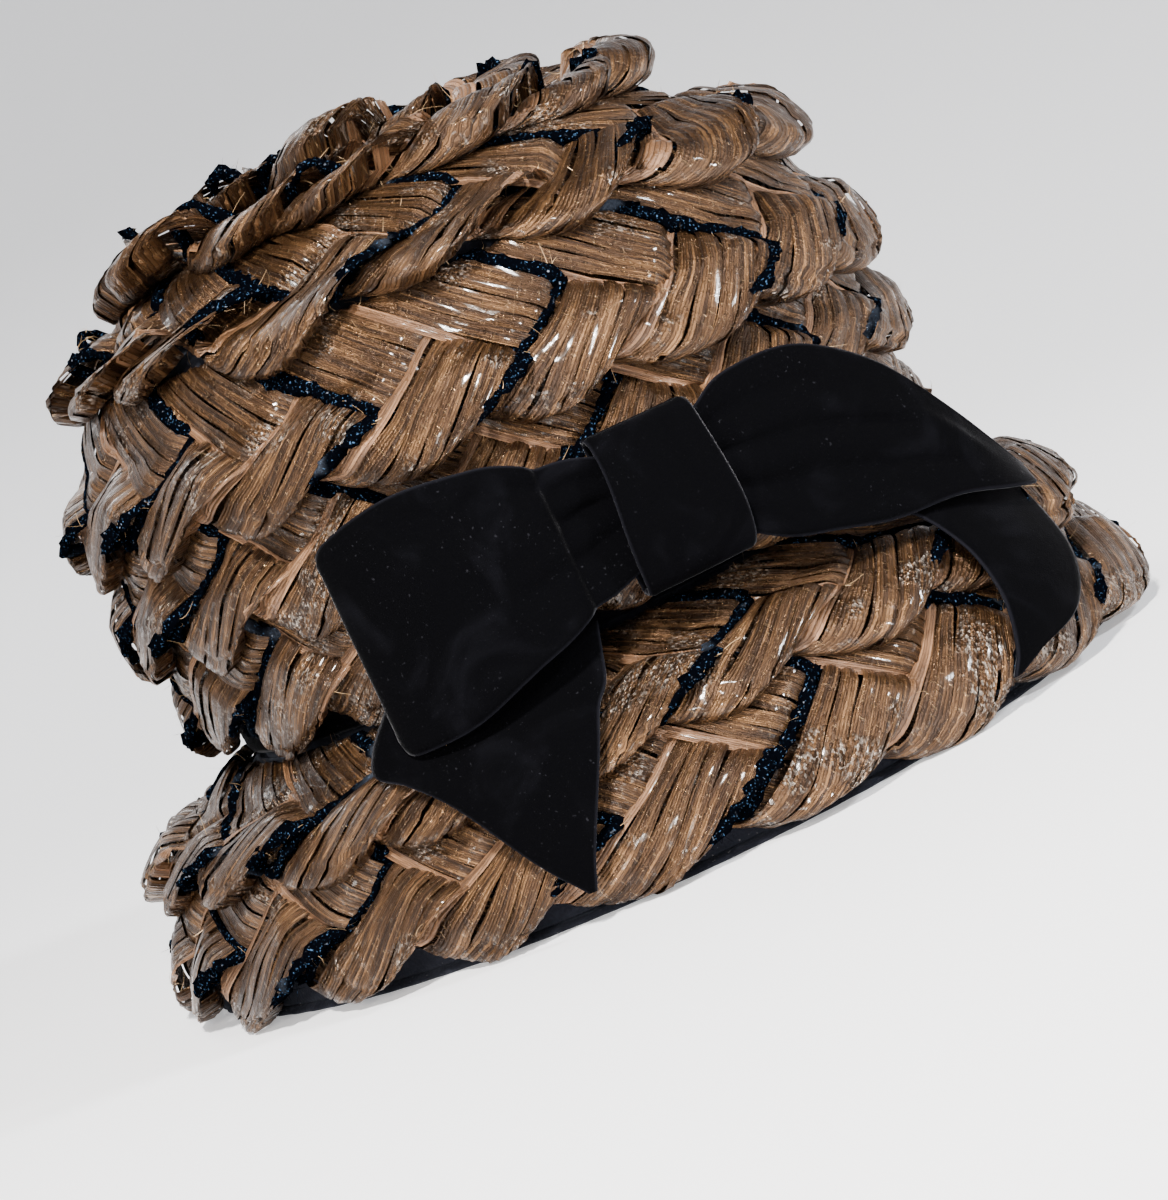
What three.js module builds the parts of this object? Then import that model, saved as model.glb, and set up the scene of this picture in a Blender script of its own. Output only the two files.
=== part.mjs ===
// A deep cloche hat: a dark cloth-covered crown and brim, rows of plaited straw-ribbon braid sewn
// round them, a velvet ribbon round the foot of the crown, and a flat velvet bow at the front right.
// Millimetres, +Z up, resting on its brim edge at z = 0. The wearer faces -Y.
import * as THREE from 'three';

// ---- driving dimensions ----
const PLAN_RATIO = 1.035; // front-to-back length over side-to-side width
const BASE_WALL = 2; // cloth-covered base
const RIBBON_WALL = 1.2; // velvet ribbon
const LAYER_GAP = 0.8; // air between faceted layers

const CROWN_LEAN = 0.05; // the crown is a little higher at the back
const LEAN_FROM = 62;
const LEAN_TO = 125;

const BRIM_EDGE_RADIUS = 126.5;
const BRIM_EDGE_Z = 2.2;
const BINDING_WIDTH = 5.2; // of the rolled tape round the brim's edge
const NECK_RADIUS = 90; // foot of the crown, where the head size is set
const NECK_Z = 57;
const CROWN_WIDEST = 98.5;
const CROWN_WIDEST_Z = 113;
const CROWN_TOP_Z = 182;
const CROWN_SEAM = 96; // where the side band meets the tip, measured along the profile
const CROWN_SEAM_GAP = 0.5;

const BRAID_FULL = 12; // how far a petal stands off the base
const BRAID_SEAM = 8.5; // the same between two petals
const BRAID_TUCKED = 3.4; // where the next row lies over it
const BRAID_END = 2.1; // the top edge of a row, under the next one
const BRAID_END_CLEAR = BRAID_END + LAYER_GAP;
const PETAL_DIP = 5; // how far a petal hangs below the seam beside it
const PETAL_SLANT = 0.7; // sideways run of a petal for each millimetre up

// one row: start and end along the profile, petals round the hat, extra air under it, and where a
// row bends over the shoulder, one more point of its inner side
const CROWN_ROWS = [
  { from: 6, to: 50, petals: 18, clear: 2.8 }, // over the velvet band
  { from: 32, to: 78, petals: 18 },
  { from: 58, to: 102, petals: 18 },
  { from: 96, to: 138, petals: 15, shoulder: [120, 2.2] },
  { from: 126, to: 165, petals: 12 },
];
const TIP_ROW = { from: 153, centre: 190, petals: 9 };
const BRIM_ROWS = [
  { from: 0.5, to: 45, petals: 21, clear: 2.6 },
  { from: 26, to: 66, petals: 21 },
];

const BAND_TOP_Z = 78;
const BAND_CLEAR = 1; // between the ribbon and the base
const BOW_ANGLE = -22.9; // degrees from the front, positive to the wearer's left
const KNOT_HALF_ANGLE = 6.6;

// ---- colours ----
const cloth = { color: 0x15161c, roughness: 0.9, metalness: 0 };
const velvet = { color: 0x08080a, roughness: 0.95, metalness: 0 };
const straw = { color: 0x7a5636, roughness: 0.35, metalness: 0.25 };

// ---- the profiles that everything follows ----
const brimProfile = new THREE.SplineCurve([
  new THREE.Vector2(BRIM_EDGE_RADIUS, BRIM_EDGE_Z),
  new THREE.Vector2(125.5, 16),
  new THREE.Vector2(118, 33),
  new THREE.Vector2(105, 46.5),
  new THREE.Vector2(NECK_RADIUS + 1, NECK_Z - 1),
]);
const crownProfile = new THREE.SplineCurve([
  new THREE.Vector2(NECK_RADIUS, NECK_Z),
  new THREE.Vector2(93.5, 72),
  new THREE.Vector2(97, 91),
  new THREE.Vector2(CROWN_WIDEST, CROWN_WIDEST_Z),
  new THREE.Vector2(95.5, 136),
  new THREE.Vector2(85, 157),
  new THREE.Vector2(64, 172),
  new THREE.Vector2(35, 180),
  new THREE.Vector2(0, CROWN_TOP_Z),
]);

// radius and height at an arc length along a profile, moved out along its normal
function onProfile(profile, along, out) {
  const u = THREE.MathUtils.clamp(along / profile.getLength(), 0, 1);
  const point = profile.getPointAt(u);
  const tangent = profile.getTangentAt(u);
  return [Math.max(point.x + tangent.y * out, 0), point.y - tangent.x * out];
}

const degrees = THREE.MathUtils.degToRad;

// a point round the hat: angle in radians from the front, positive to the wearer's left
function around(angle, radius, z) {
  const x = radius * Math.sin(angle);
  const y = -PLAN_RATIO * radius * Math.cos(angle);
  const lean = CROWN_LEAN * THREE.MathUtils.smoothstep(z, LEAN_FROM, LEAN_TO);
  return new THREE.Vector3(x, y, z + lean * y);
}

// ---- closed bodies ----
function addMesh(group, name, points, triangles, look) {
  const geometry = new THREE.BufferGeometry();
  const numbers = points.flatMap((point) => [point.x, point.y, point.z]);
  geometry.setAttribute('position', new THREE.Float32BufferAttribute(numbers, 3));
  geometry.setIndex(triangles);
  geometry.computeVertexNormals();
  const mesh = new THREE.Mesh(geometry, new THREE.MeshStandardMaterial(look));
  mesh.name = name;
  group.add(mesh);
}

// a ring whose section, a list of points, is given for each column; both directions close
function addRing(group, name, columns, look) {
  const sides = columns[0].length;
  const triangles = [];
  columns.forEach((_, i) => {
    const next = (i + 1) % columns.length;
    for (let j = 0; j < sides; j++) {
      const up = (j + 1) % sides;
      const [a, b] = [i * sides + j, next * sides + j];
      const [c, d] = [next * sides + up, i * sides + up];
      triangles.push(a, b, c, a, c, d);
    }
  });
  addMesh(group, name, columns.flat(), triangles, look);
}

// a cap over the top: each column runs from near the outer pole, over the rim, to near the inner one
function addCap(group, name, columns, outerPole, innerPole, look) {
  const sides = columns[0].length;
  const points = [...columns.flat(), outerPole, innerPole];
  const [top, bottom] = [points.length - 2, points.length - 1];
  const triangles = [];
  columns.forEach((_, i) => {
    const next = (i + 1) % columns.length;
    triangles.push(top, i * sides, next * sides);
    triangles.push(bottom, next * sides + sides - 1, i * sides + sides - 1);
    for (let j = 0; j + 1 < sides; j++) {
      const [a, b] = [i * sides + j, next * sides + j];
      triangles.push(a, a + 1, b + 1, a, b + 1, b);
    }
  });
  addMesh(group, name, points, triangles, look);
}

// a sheet with a wall: a grid of points, thickened to both sides of itself
function addSheet(group, name, grid, wall, look) {
  const [rows, cols] = [grid.length, grid[0].length];
  const offset = (i, j, side) => {
    const along = grid[Math.min(i + 1, rows - 1)][j].clone().sub(grid[Math.max(i - 1, 0)][j]);
    const across = grid[i][Math.min(j + 1, cols - 1)].clone().sub(grid[i][Math.max(j - 1, 0)]);
    return grid[i][j].clone().addScaledVector(along.cross(across).normalize(), (side * wall) / 2);
  };
  const points = [];
  for (const side of [1, -1]) {
    for (let i = 0; i < rows; i++) {
      for (let j = 0; j < cols; j++) points.push(offset(i, j, side));
    }
  }
  const at = (layer, i, j) => layer * rows * cols + i * cols + j;
  const triangles = [];
  const quad = (a, b, c, d) => triangles.push(a, b, c, a, c, d);
  for (let i = 0; i + 1 < rows; i++) {
    for (let j = 0; j + 1 < cols; j++) {
      quad(at(0, i, j), at(0, i + 1, j), at(0, i + 1, j + 1), at(0, i, j + 1));
      quad(at(1, i, j), at(1, i, j + 1), at(1, i + 1, j + 1), at(1, i + 1, j));
    }
    quad(at(0, i, 0), at(1, i, 0), at(1, i + 1, 0), at(0, i + 1, 0));
    quad(at(0, i + 1, cols - 1), at(1, i + 1, cols - 1), at(1, i, cols - 1), at(0, i, cols - 1));
  }
  for (let j = 0; j + 1 < cols; j++) {
    quad(at(0, 0, j + 1), at(1, 0, j + 1), at(1, 0, j), at(0, 0, j));
    quad(at(0, rows - 1, j), at(1, rows - 1, j), at(1, rows - 1, j + 1), at(0, rows - 1, j + 1));
  }
  addMesh(group, name, points, triangles, look);
}

const columnAngles = (count) => Array.from({ length: count }, (_, i) => (i / count) * 2 * Math.PI);

// ---- the cloth-covered base: the crown's side band, its domed tip, and the brim ----
// the section of a base wall: up its outside and down its inside, at these places along a profile
function wallColumns(profile, steps) {
  return columnAngles(48).map((angle) => {
    const ring = (out) => (along) => around(angle, ...onProfile(profile, along, out));
    return [...steps.map(ring(0)), ...[...steps].reverse().map(ring(-BASE_WALL))];
  });
}

function addBaseCrownSide(group) {
  addRing(group, 'base_crown_side', wallColumns(crownProfile, [0, 24, 48, 72, CROWN_SEAM]), cloth);
}

function addBaseCrownTip(group) {
  const steps = [162, 132, 110, CROWN_SEAM + CROWN_SEAM_GAP];
  const outerPole = around(0, 0, CROWN_TOP_Z);
  const innerPole = around(0, 0, CROWN_TOP_Z - BASE_WALL);
  addCap(group, 'base_crown_tip', wallColumns(crownProfile, steps), outerPole, innerPole, cloth);
}

function addBaseBrim(group) {
  const steps = [0, 0.25, 0.5, 0.75, 0.985].map((share) => share * brimProfile.getLength());
  addRing(group, 'base_brim', wallColumns(brimProfile, steps), cloth);
}

// tape bound over the brim's edge, flat underneath where the hat stands
function addBrimBinding(group) {
  const [half, top, bevel] = [BINDING_WIDTH / 2, 1.7, 0.6];
  const middle = BRIM_EDGE_RADIUS - BASE_WALL / 2;
  const section = [
    [middle + half, bevel],
    [middle + half, top],
    [middle - half, top],
    [middle - half, bevel],
    [middle - half + bevel, 0],
    [middle + half - bevel, 0],
  ];
  const columns = columnAngles(48).map((angle) => section.map(([r, z]) => around(angle, r, z)));
  addRing(group, 'brim_binding', columns, cloth);
}

// ---- the braid ----
// how full a petal is at three places across it, first at the seam
const PETAL_SHAPE = [0, 1, 0.8];

// the outline of one row's section, as [place along the profile, height over the base]
function rowSection(row, below, above, fullness) {
  const low = below ? BRAID_TUCKED + LAYER_GAP : LAYER_GAP + (row.clear ?? 0);
  const stand = BRAID_SEAM + (BRAID_FULL - BRAID_SEAM) * fullness;
  const hem = row.from + PETAL_DIP * (1 - fullness);
  const bend = above ? above.from - 9 : row.to - 12;
  const tuck = above ? above.from - 1 : row.to - 2;
  const inner = below ? [below.to + 2, BRAID_END_CLEAR] : [row.from + 20, low];
  const bendInside = row.shoulder ? [row.shoulder] : [];
  return [
    [hem + 2.5, low],
    [hem, (low + stand) / 2],
    [hem + 3.5, stand],
    [Math.max(bend, hem + 6), stand - 0.5],
    [tuck, BRAID_TUCKED],
    [row.to, BRAID_END],
    [row.to, LAYER_GAP],
    ...bendInside,
    inner,
  ];
}

function rowColumns(profile, row, below, above) {
  const [radius] = onProfile(profile, row.from, 0);
  return columnAngles(row.petals * PETAL_SHAPE.length).map((angle, i) => {
    const section = rowSection(row, below, above, PETAL_SHAPE[i % PETAL_SHAPE.length]);
    return section.map(([along, out]) => {
      const slant = (PETAL_SLANT * (along - row.from)) / radius;
      return around(angle + slant, ...onProfile(profile, along, out));
    });
  });
}

function addBraidRows(group, prefix, profile, rows, last) {
  rows.forEach((row, i) => {
    const above = rows[i + 1] ?? last;
    addRing(group, `${prefix}_${i + 1}`, rowColumns(profile, row, rows[i - 1], above), straw);
  });
}

// the coil of braid that closes the top
function addTipBraid(group) {
  const below = CROWN_ROWS[CROWN_ROWS.length - 1];
  const low = BRAID_TUCKED + LAYER_GAP;
  const columns = columnAngles(TIP_ROW.petals * PETAL_SHAPE.length).map((angle, i) => {
    const fullness = PETAL_SHAPE[i % PETAL_SHAPE.length];
    const stand = BRAID_SEAM + 2 * fullness;
    const hem = TIP_ROW.from + PETAL_DIP * (1 - fullness);
    const section = [
      [TIP_ROW.centre, 7.5],
      [hem + 12, stand],
      [hem + 3, stand],
      [hem, 6],
      [hem + 3, low],
      [below.to + 3, BRAID_END_CLEAR],
    ];
    return section.map(([along, out]) => around(angle, ...onProfile(crownProfile, along, out)));
  });
  const outerPole = around(0, 0, CROWN_TOP_Z + 8);
  const innerPole = around(0, 0, CROWN_TOP_Z + LAYER_GAP);
  addCap(group, 'crown_tip_braid', columns, outerPole, innerPole, straw);
}

// ---- the velvet ribbon ----
function addRibbonBand(group) {
  const columns = columnAngles(48).map((angle) => {
    const foot = NECK_RADIUS + BAND_CLEAR;
    const section = [[foot, NECK_Z + 0.6], [foot + 2.2, NECK_Z + 10], [foot + 4.6, BAND_TOP_Z]];
    const inside = section.map(([r, z]) => around(angle, r, z));
    const outside = section.map(([r, z]) => around(angle, r + RIBBON_WALL, z));
    return [...outside, ...inside.reverse()];
  });
  addRing(group, 'ribbon_band', columns, velvet);
}

// a grid of points from a list of [angle, radius, low z, high z] stations, evenly spread across
function stationGrid(stations, across) {
  return stations.map(([angle, radius, low, high, flare = 0]) =>
    Array.from({ length: across }, (_, j) => {
      const t = j / (across - 1);
      return around(degrees(angle), radius + flare * (0.5 - t), low + (high - low) * t);
    }),
  );
}

// each loop runs out from the knot in front, turns, and comes back behind
function addBowLoops(group) {
  const back = [
    [-30.2, 117.8, 67.5, 101],
    [-35.6, 121.2, 65, 104.5],
    [-38.5, 126, 62.5, 107],
    [-44, 128.4, 57, 111.5],
    [-51, 129, 52.5, 112.5],
    [-56.5, 127.6, 51, 110],
    [-60, 125, 51.5, 106],
    [-61.5, 121.8, 54, 102.5],
    [-60, 118, 58, 101],
    [-54, 116.6, 61, 101],
    [-44, 116, 63, 101],
    [-30.2, 115.8, 68, 97],
  ];
  const front = [
    [-15.6, 117.8, 62.5, 100, 1],
    [-11, 121, 59, 106.5, 3],
    [-5, 124.5, 55, 107, 4],
    [2, 127.8, 51.7, 98.5, 5],
    [9, 130.2, 48.5, 85, 6],
    [15, 131.7, 45, 67.5, 6],
    [20.5, 132.2, 42.5, 51.5, 3],
    [22.8, 130.4, 42.5, 46.5, 1],
    [20.5, 128.6, 45, 53, 2],
    [11, 126, 53, 76, 4],
    [0, 120.4, 58, 93, 3],
    [-15.6, 115.8, 64, 96, 0],
  ];
  addSheet(group, 'bow_loop_back', stationGrid(back, 4).reverse(), RIBBON_WALL, velvet);
  addSheet(group, 'bow_loop_front', stationGrid(front, 4), RIBBON_WALL, velvet);
}

// a short ribbon wrapped round the gathered middle of the bow: its outline from the side is a list of
// (radius, height) points, and its inner face is the same outline drawn in towards its middle
function addBowKnot(group) {
  const outline = [
    [113.6, 65.5],
    [113.6, 101],
    [115.6, 104],
    [119, 104.8],
    [122.4, 101.5],
    [124.6, 91],
    [124.6, 76],
    [122.6, 66],
    [119.4, 62],
    [115.8, 62.6],
  ];
  const middle = [118.75, 83];
  const drawnIn = ([r, z]) => [
    r - RIBBON_WALL * Math.sign(r - middle[0]),
    z - RIBBON_WALL * Math.sign(z - middle[1]),
  ];
  const side = (angle, points) => points.map(([r, z]) => around(degrees(BOW_ANGLE + angle), r, z));
  const inner = outline.map(drawnIn);
  const rings = [
    side(-KNOT_HALF_ANGLE, outline),
    side(KNOT_HALF_ANGLE, outline),
    side(KNOT_HALF_ANGLE, inner),
    side(-KNOT_HALF_ANGLE, inner),
  ];
  addRing(group, 'bow_knot', outline.map((_, i) => rings.map((ring) => ring[i])), velvet);
}

// the pointed ends, hanging from behind the loops and over the brim: a list of
// [angle, how many degrees it reaches, radius, height, fall over that reach] stations
function addBowTails(group) {
  const back = [
    [-64, 28, 114.6, 61.5, 0],
    [-66, 29, 118.8, 55, 0],
    [-66, 28, 123.8, 49.2, 0],
    [-61.5, 21.8, 129.2, 45, 0],
    [-56.4, 15, 134.8, 36.5, 0],
    [-50.8, 5.7, 139.4, 18.5, 0],
    [-47.6, 2, 139.8, 8.5, 0],
  ];
  const front = [
    [1, 20, 122.5, 54.5, 5],
    [2, 20, 127.6, 49.5, 5.8],
    [3.2, 16.5, 134, 38.5, 11.5],
    [2.6, 10, 139.2, 26.5, 11.5],
    [1.2, 4, 139.8, 14, 3.5],
    [-0.4, 2, 139.8, 8, 0],
  ];
  const grid = (stations) =>
    stations.map(([angle, reach, radius, z, fall]) =>
      [0, 0.5, 1].map((share) => around(degrees(angle + reach * share), radius, z - fall * share)),
    );
  addSheet(group, 'bow_tail_back', grid(back), RIBBON_WALL, velvet);
  addSheet(group, 'bow_tail_front', grid(front), RIBBON_WALL, velvet);
}

const hat = new THREE.Group();
addBaseCrownSide(hat);
addBaseCrownTip(hat);
addBaseBrim(hat);
addBrimBinding(hat);
addBraidRows(hat, 'crown_braid', crownProfile, CROWN_ROWS, TIP_ROW);
addTipBraid(hat);
addBraidRows(hat, 'brim_braid', brimProfile, BRIM_ROWS);
addRibbonBand(hat);
addBowLoops(hat);
addBowKnot(hat);
addBowTails(hat);

export default hat;
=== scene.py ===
import math

import bpy
import numpy as np
from mathutils import Matrix, Vector


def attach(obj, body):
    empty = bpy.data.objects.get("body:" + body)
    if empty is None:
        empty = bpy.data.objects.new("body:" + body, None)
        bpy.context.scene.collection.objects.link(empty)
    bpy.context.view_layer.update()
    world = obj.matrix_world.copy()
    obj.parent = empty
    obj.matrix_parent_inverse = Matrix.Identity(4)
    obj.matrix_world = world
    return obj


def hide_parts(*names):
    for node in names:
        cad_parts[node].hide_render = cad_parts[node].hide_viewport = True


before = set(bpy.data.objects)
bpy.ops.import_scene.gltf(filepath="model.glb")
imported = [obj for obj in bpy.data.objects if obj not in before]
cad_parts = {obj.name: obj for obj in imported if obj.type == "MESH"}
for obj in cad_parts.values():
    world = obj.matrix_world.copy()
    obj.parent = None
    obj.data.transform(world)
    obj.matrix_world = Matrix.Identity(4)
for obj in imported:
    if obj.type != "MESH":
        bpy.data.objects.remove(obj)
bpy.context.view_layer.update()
MM = 0.001
draw = np.random.default_rng(61)  # every chance in the file is drawn from here, in order

# ---------------------------------------------------------------------------
# The base. A crown and a brim blocked from stiff net and covered with dark woven cloth, with a tape
# rolled over the brim's edge. The braid is sewn to it row by row, so the cloth shows only between the
# petals, inside the hat and along the edge.
# ---------------------------------------------------------------------------
PLAN_RATIO = 1.035  # front-to-back length over side-to-side width
CROWN_LEAN = 0.05  # the crown stands a little higher at the back
LEAN_FROM, LEAN_TO = 62 * MM, 125 * MM
BASE_WALL = 2 * MM


class Outline:
    """A smooth line through (radius, height) points, read by its length from the first point."""

    def __init__(self, *points):
        knots = np.array(points, float) * MM
        self.line = smooth_line(knots, 24)
        lengths = np.hypot(*np.diff(self.line, axis=0).T)
        self.along = np.concatenate([[0], np.cumsum(lengths)])
        self.length = self.along[-1]

    def point(self, along, out):
        """Radius and height at a length, moved out square to the line."""
        step = 1.5 * MM
        low, high = self.on_line(along - step), self.on_line(along + step)
        slope = (high - low) / np.linalg.norm(high - low, axis=-1, keepdims=True)
        middle = self.on_line(along)
        radius = middle[..., 0] + slope[..., 1] * out
        return np.maximum(radius, 0), middle[..., 1] - slope[..., 0] * out

    def on_line(self, along):
        """The line itself, carried on straight past both of its ends."""
        inside = np.clip(along, 0, self.length)
        point = np.stack([np.interp(inside, self.along, self.line[:, k]) for k in (0, 1)], -1)
        first, last = self.line[1] - self.line[0], self.line[-1] - self.line[-2]
        past_end = np.maximum(along - self.length, 0)[..., None]
        before_start = np.minimum(along, 0)[..., None]
        return point + past_end * last / np.linalg.norm(last) + before_start * first / np.linalg.norm(first)


def smooth_line(knots, steps, closed=False):
    """Points along a smooth curve through the knots, with so many steps between two of them."""
    knots = np.asarray(knots, float)
    if closed:
        padded = np.vstack([knots[-1:], knots, knots[:2]])
    else:
        padded = np.vstack([2 * knots[0] - knots[1], knots, 2 * knots[-1] - knots[-2]])
    t = np.linspace(0, 1, steps, endpoint=False)[:, None]
    curve = []
    for a, b, c, d in zip(padded, padded[1:], padded[2:], padded[3:]):
        cubic = 3 * (b - c) + d - a
        curve.append(b + 0.5 * t * (c - a + t * (2 * a - 5 * b + 4 * c - d + t * cubic)))
    return np.vstack(curve if closed else [*curve, knots[-1:]])


def around(angle, radius, z):
    """Points round the hat. The angle runs from the front, positive to the wearer's left."""
    x = radius * np.sin(angle)
    y = -PLAN_RATIO * radius * np.cos(angle)
    rise = np.clip((z - LEAN_FROM) / (LEAN_TO - LEAN_FROM), 0, 1)
    return np.stack(np.broadcast_arrays(x, y, z + CROWN_LEAN * y * rise * rise * (3 - 2 * rise)), -1)


brim_outline = Outline((126.5, 2.2), (125.5, 16), (118, 33), (105, 46.5), (91, 56))
crown_outline = Outline((90, 57), (93.5, 72), (97, 91), (98.5, 113), (95.5, 136), (85, 157), (64, 172),
                        (35, 180), (0, 182))


def add_mesh(name, points, faces, materials, uvs=None, slots=None):
    """A smooth mesh from points and quads, with each point's (along, across) pair as its UV."""
    mesh = bpy.data.meshes.new(name)
    faces = np.asarray(faces, np.int32)
    mesh.vertices.add(len(points))
    mesh.vertices.foreach_set("co", np.asarray(points, np.float32).ravel())
    mesh.loops.add(faces.size)
    mesh.loops.foreach_set("vertex_index", faces.ravel())
    mesh.polygons.add(len(faces))
    mesh.polygons.foreach_set("loop_start", np.arange(0, faces.size, faces.shape[1], dtype=np.int32))
    if uvs is not None:
        layer = mesh.uv_layers.new(name="ribbon")
        layer.data.foreach_set("uv", np.asarray(uvs, np.float32)[faces.ravel()].ravel())
    for material in materials:
        mesh.materials.append(material)
    if slots is not None:
        mesh.polygons.foreach_set("material_index", np.asarray(slots, np.int32))
    mesh.polygons.foreach_set("use_smooth", np.ones(len(faces), bool))
    mesh.update(calc_edges=True)
    mesh.validate()
    piece = bpy.data.objects.new(name, mesh)
    bpy.context.scene.collection.objects.link(piece)
    return piece


def grid_faces(rows, cols, close_rows=False, close_cols=False):
    """Quads over a grid of points held row by row."""
    i = np.arange(rows if close_rows else rows - 1)
    j = np.arange(cols if close_cols else cols - 1)
    i, j = (a.ravel() for a in np.meshgrid(i, j, indexing="ij"))
    up, right = (i + 1) % rows, (j + 1) % cols
    return np.stack([i * cols + j, up * cols + j, up * cols + right, i * cols + right], -1)


def put(tree, kind, inputs=(), **settings):
    """A shader node with its inputs linked or set; gives back its outputs."""
    node = tree.nodes.new("ShaderNode" + kind)
    for name, value in settings.items():
        setattr(node, name, value)
    for socket, value in dict(inputs).items():
        if isinstance(value, bpy.types.NodeSocket):
            tree.links.new(value, node.inputs[socket])
        else:
            node.inputs[socket].default_value = value
    return node.outputs


def sum_of(tree, operation, *values):
    return put(tree, "Math", dict(enumerate(values)), operation=operation)[0]


def between(tree, share, first, second):
    """One colour over to another."""
    mixed = {0: share, 6: first, 7: second}
    return put(tree, "Mix", mixed, data_type="RGBA")[2]


def spread(tree, value, low, high):
    """0 under low, 1 over high, and a soft step between."""
    return put(tree, "MapRange", {0: value, 1: low, 2: high}, interpolation_type="SMOOTHSTEP")[0]


def start_group(name, inputs, outputs):
    """An empty shader node group; gives back its tree, its inputs by name and its outputs by name."""
    group = bpy.data.node_groups.new(name, "ShaderNodeTree")
    for label, kind, value in inputs:
        socket = group.interface.new_socket(name=label, in_out="INPUT", socket_type=kind)
        if value is not None:
            socket.default_value = value
    for label in outputs:
        group.interface.new_socket(name=label, in_out="OUTPUT", socket_type="NodeSocketFloat")
    return group, group.nodes.new("NodeGroupInput").outputs, group.nodes.new("NodeGroupOutput").inputs


def new_material(name, **sockets):
    """A material whose Principled shader has these values on its own sockets."""
    material = bpy.data.materials.new(name)
    material.use_nodes = True
    shader = material.node_tree.nodes["Principled BSDF"]
    for label, value in sockets.items():
        shader.inputs[label.replace("_", " ")].default_value = value
    return material, material.node_tree, shader


# lint: pale specks and short bits of thread that dark cloth picks up
lint, given, made = start_group("picked_up_lint", [
    ("Place", "NodeSocketVector", None), ("Speck Scale", "NodeSocketFloat", 900.0),
    ("Amount", "NodeSocketFloat", 0.5)], ["Specks"])
specks = put(lint, "TexNoise", {"Vector": given["Place"], "Scale": given["Speck Scale"], "Detail": 1.0})[0]
patches = put(lint, "TexNoise", {"Vector": given["Place"], "Scale": 60.0, "Detail": 3.0})[0]
shown = sum_of(lint, "MULTIPLY", spread(lint, specks, 0.70, 0.76), spread(lint, patches, 0.42, 0.62))
lint.links.new(sum_of(lint, "MULTIPLY", shown, given["Amount"]), made["Specks"])

base_cloth, tree, shader = new_material(
    "dark_woven_cloth", Roughness=0.9, Specular_IOR_Level=0.1, Sheen_Weight=0.08, Sheen_Roughness=0.5,
    Sheen_Tint=(0.5, 0.55, 0.7, 1))
place = put(tree, "TexCoord")["Object"]
threads = put(tree, "TexNoise", {"Vector": place, "Scale": 1400.0, "Detail": 3.0})[0]
dusty = put(tree, "Group", {"Place": place, "Amount": 0.6}, node_tree=lint)
colour = between(tree, threads, (0.0025, 0.0028, 0.0045, 1), (0.012, 0.013, 0.019, 1))
colour = between(tree, dusty["Specks"], colour, (0.16, 0.15, 0.15, 1))
tree.links.new(colour, shader.inputs["Base Color"])
tree.links.new(put(tree, "Bump", {"Height": threads, "Strength": 0.6, "Distance": 0.3 * MM})[0],
               shader.inputs["Normal"])


def cloth_shell(name, outline, stops, *nodes):
    """A closed wall of cloth that follows an outline all the way round."""
    turns = np.linspace(0, 2 * math.pi, 120, endpoint=False)[:, None]
    along = np.concatenate([stops, stops[::-1]])[None, :]
    out = np.concatenate([stops * 0, stops * 0 - BASE_WALL])[None, :]
    points = around(turns, *outline.point(along, out))
    faces = grid_faces(*points.shape[:2], close_rows=True, close_cols=True)
    piece = add_mesh(name, points.reshape(-1, 3), faces, [base_cloth])
    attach(piece, "root")
    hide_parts(*nodes)
    return piece


crown_cloth = cloth_shell(
    "base_crown_cloth", crown_outline, np.linspace(-3 * MM, crown_outline.length - 0.4 * MM, 60),
    "base_crown_side", "base_crown_tip")
cloth_shell(
    "base_brim_cloth", brim_outline, np.linspace(0, brim_outline.length - 0.5 * MM, 30), "base_brim")

# the tape: a soft roll, flat where the hat stands on it, with a ripple at every hand stitch
BINDING_RADIUS, BINDING_HALF, BINDING_TOP, BINDING_STITCH = 125.5 * MM, 2.6 * MM, 1.75 * MM, 9 * MM
turns = np.linspace(0, 2 * math.pi, 720, endpoint=False)[:, None]
ring = np.linspace(0, 2 * math.pi, 14, endpoint=False)[None, :]
ripple = 1 + 0.10 * np.sin(turns * BINDING_RADIUS / BINDING_STITCH * 2 * math.pi)
across = BINDING_HALF * np.cos(ring) * ripple
height = np.maximum(BINDING_TOP / 2 + BINDING_TOP / 2 * 1.25 * np.sin(ring), 0)
points = around(turns, BINDING_RADIUS + across, height)
binding = add_mesh("brim_binding_tape", points.reshape(-1, 3),
                   grid_faces(720, 14, close_rows=True, close_cols=True), [base_cloth])
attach(binding, "root")
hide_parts("brim_binding")

# ---------------------------------------------------------------------------
# The braid. Rows of loose three-strand plait, each strand a 25 mm ribbon of bronze synthetic straw with
# a tan selvedge along one edge and a fuzzy midnight-blue chenille cord along the other. Every fold at
# a row's hem is a rounded petal, and each row is sewn on through its top edge, under the next one.
# ---------------------------------------------------------------------------
RIBBON_WIDTH = 25 * MM
SELVEDGE_WIDTH = 2.6 * MM
CHENILLE_RADIUS = 1.6 * MM
STRAW_BANDS = 5  # bundles of straw, with a dark gap between two
STRANDS = 3
LEG_ANGLE = math.radians(52)  # how far a leg of the plait leans from upright
LOW, MIDDLE, TOP = 1.3 * MM, 5.2 * MM, 3.6 * MM  # levels of a leg under, between and over the others
CROSSING = 4.5 * MM  # half the length over which a leg changes level


def ease(t):
    t = np.clip(t, 0, 1)
    return t * t * (3 - 2 * t)


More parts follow.
